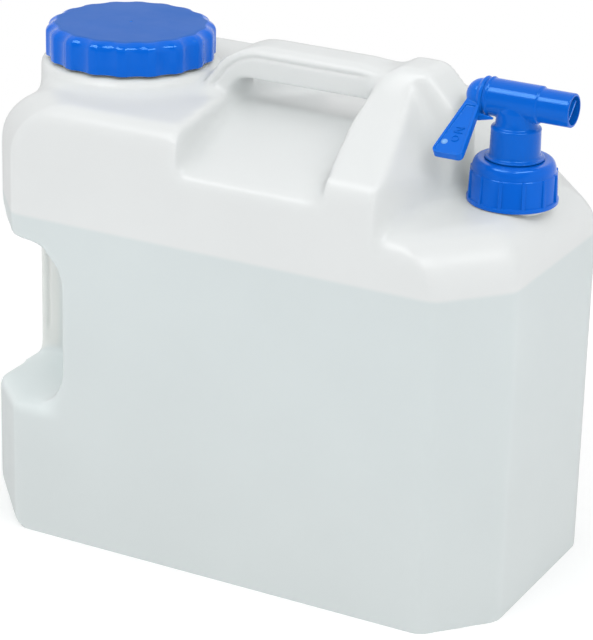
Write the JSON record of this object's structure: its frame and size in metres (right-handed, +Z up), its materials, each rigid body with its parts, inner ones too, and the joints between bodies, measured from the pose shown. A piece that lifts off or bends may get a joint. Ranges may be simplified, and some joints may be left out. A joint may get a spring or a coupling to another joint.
{
  "type": "jerry can",
  "caption": "Blow-moulded water jerry can with a wide screw lid, a moulded carry handle, an end grip and a plug tap with a turning lever on its own neck.",
  "frame": {"origin": "middle of the base, on the surface that the can stands on", "axes": "+X along the can towards the tap, +Z up, -Y towards the broad face with the lever"},
  "size_m": [0.3643, 0.204, 0.326],
  "materials": {
    "milky_plastic": "satin, slightly translucent",
    "blue_plastic": "glossy",
    "seal_foam": "matt",
    "black_rubber": "matt"
  },
  "bodies": {
    "can": {"can_body": "milky_plastic"},
    "lid_ring": {"lid_seal": "seal_foam"},
    "lid": {"lid": "blue_plastic"},
    "tap": {"tap_body": "blue_plastic", "tap_washer": "seal_foam"},
    "nut": {"tap_nut": "blue_plastic"},
    "key": {"tap_key": "blue_plastic", "key_rings": "black_rubber"}
  },
  "joints": [
    {"name": "lid_lift", "type": "slide", "parent": "can", "child": "lid_ring", "axis": [0, 0, 1], "range_m": [0, 0.0241]},
    {"name": "lid_turn", "type": "hinge", "parent": "lid_ring", "child": "lid", "pos_m": [-0.121, 0, 0.3], "axis": [0, 0, 1], "range_deg": [0, 1080]},
    {"name": "tap_lift", "type": "slide", "parent": "can", "child": "tap", "axis": [0, 0, 1], "range_m": [0, 0.0211]},
    {"name": "nut_turn", "type": "hinge", "parent": "tap", "child": "nut", "pos_m": [0.148, 0, 0.26], "axis": [0, 0, 1], "range_deg": [0, 1260]},
    {"name": "key_turn", "type": "hinge", "parent": "tap", "child": "key", "pos_m": [0.123, 0, 0.3125], "axis": [-1, 0, 0], "range_deg": [0, 90]}
  ],
  "couplings": [
    {"joint": "lid_lift", "follows": "lid_turn", "m_per_rad": 0.0012732},
    {"joint": "tap_lift", "follows": "nut_turn", "m_per_rad": 0.00095493}
  ]
}
